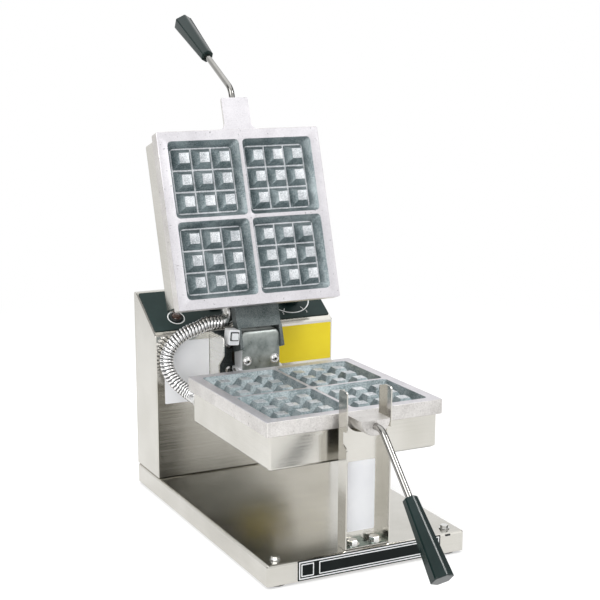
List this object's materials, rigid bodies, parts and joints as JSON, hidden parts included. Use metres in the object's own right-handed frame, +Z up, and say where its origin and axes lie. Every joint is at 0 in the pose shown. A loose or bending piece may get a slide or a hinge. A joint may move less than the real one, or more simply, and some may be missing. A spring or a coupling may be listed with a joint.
{
  "type": "belgian waffle maker",
  "caption": "Countertop waffle maker with a hinged, turning pair of square pegged grids on a steel stand, standing open.",
  "frame": {"origin": "middle of the box, at the table under the feet", "axes": "+Z up, +Y to the back with the housing, +X to the right seen from the front"},
  "size_m": [0.26, 0.713, 0.6298],
  "materials": {
    "stainless": "brushed stainless sheet",
    "cast_aluminium": "cast, machined rims, satin",
    "dark_cast": "dark cast, granular",
    "plated_steel": "bright plated",
    "phenolic": "black moulded, glossy",
    "panel_black": "dark satin enamel",
    "rubber": "matt black",
    "bronze": "sintered bronze",
    "heater_sheath": "heat-darkened sheath",
    "moulding": "matt black moulding",
    "amber_lens": "clear amber lens"
  },
  "bodies": {
    "stand": {"back_cover": "stainless", "base_pan": "stainless", "bearing_bush": "bronze", "bearing_plate": "plated_steel", "control_panel": "panel_black", "cord_gland": "moulding", "foot_bolt_back_left": "plated_steel", "foot_bolt_back_right": "plated_steel", "foot_bolt_front_left": "plated_steel", "foot_bolt_front_right": "plated_steel", "front_post": "stainless", "housing_shell": "stainless", "lamp_bezel": "plated_steel", "post_bolt_left": "plated_steel", "post_bolt_right": "plated_steel", "power_switch": "moulding", "ready_lamp": "amber_lens", "rubber_foot_back_left": "rubber", "rubber_foot_back_right": "rubber", "rubber_foot_front_left": "rubber", "rubber_foot_front_right": "rubber", "terminal_block": "moulding", "timer_body": "moulding", "trunnion_bracket": "stainless"},
    "lower_half": {"conduit": "plated_steel", "conduit_connector": "plated_steel", "hinge_block": "cast_aluminium", "hinge_screw_left": "plated_steel", "hinge_screw_right": "plated_steel", "lower_arm": "dark_cast", "lower_arm_bolt_left": "plated_steel", "lower_arm_bolt_right": "plated_steel", "lower_arm_screw_left": "plated_steel", "lower_arm_screw_right": "plated_steel", "lower_clamp": "plated_steel", "lower_clamp_screw": "plated_steel", "lower_element": "heater_sheath", "lower_grid": "cast_aluminium", "lower_handle_grip": "phenolic", "lower_handle_rod": "plated_steel", "lower_pan": "stainless", "trunnion_collar": "plated_steel", "trunnion_shaft": "plated_steel"},
    "upper_half": {"conduit_elbow": "plated_steel", "hinge_pin": "plated_steel", "upper_arm": "dark_cast", "upper_arm_screw_left": "plated_steel", "upper_arm_screw_right": "plated_steel", "upper_clamp": "plated_steel", "upper_clamp_screw": "plated_steel", "upper_element": "heater_sheath", "upper_grid": "cast_aluminium", "upper_handle_grip": "phenolic", "upper_handle_rod": "plated_steel", "upper_pan": "stainless"},
    "switch_rocker": {"switch_rocker": "phenolic"},
    "timer_knob": {"timer_knob": "phenolic"}
  },
  "joints": [
    {"name": "head_flip", "type": "hinge", "parent": "stand", "child": "lower_half", "pos_m": [0, -0.0466, 0.1847], "axis": [0, 1, 0], "range_deg": [-4, 4]},
    {"name": "lid_hinge", "type": "hinge", "parent": "lower_half", "child": "upper_half", "pos_m": [0, 0.10975, 0.2152], "axis": [1, 0, 0], "range_deg": [0, 107.7], "deforming": ["conduit"]},
    {"name": "timer_turn", "type": "hinge", "parent": "stand", "child": "timer_knob", "pos_m": [0.079, 0.18199, 0.24874], "axis": [0, 0.5519, -0.8339], "range_deg": [0, 300]},
    {"name": "switch_rock", "type": "hinge", "parent": "stand", "child": "switch_rocker", "pos_m": [-0.033, 0.18111, 0.25008], "axis": [1, 0, 0], "range_deg": [-18, 0]}
  ]
}
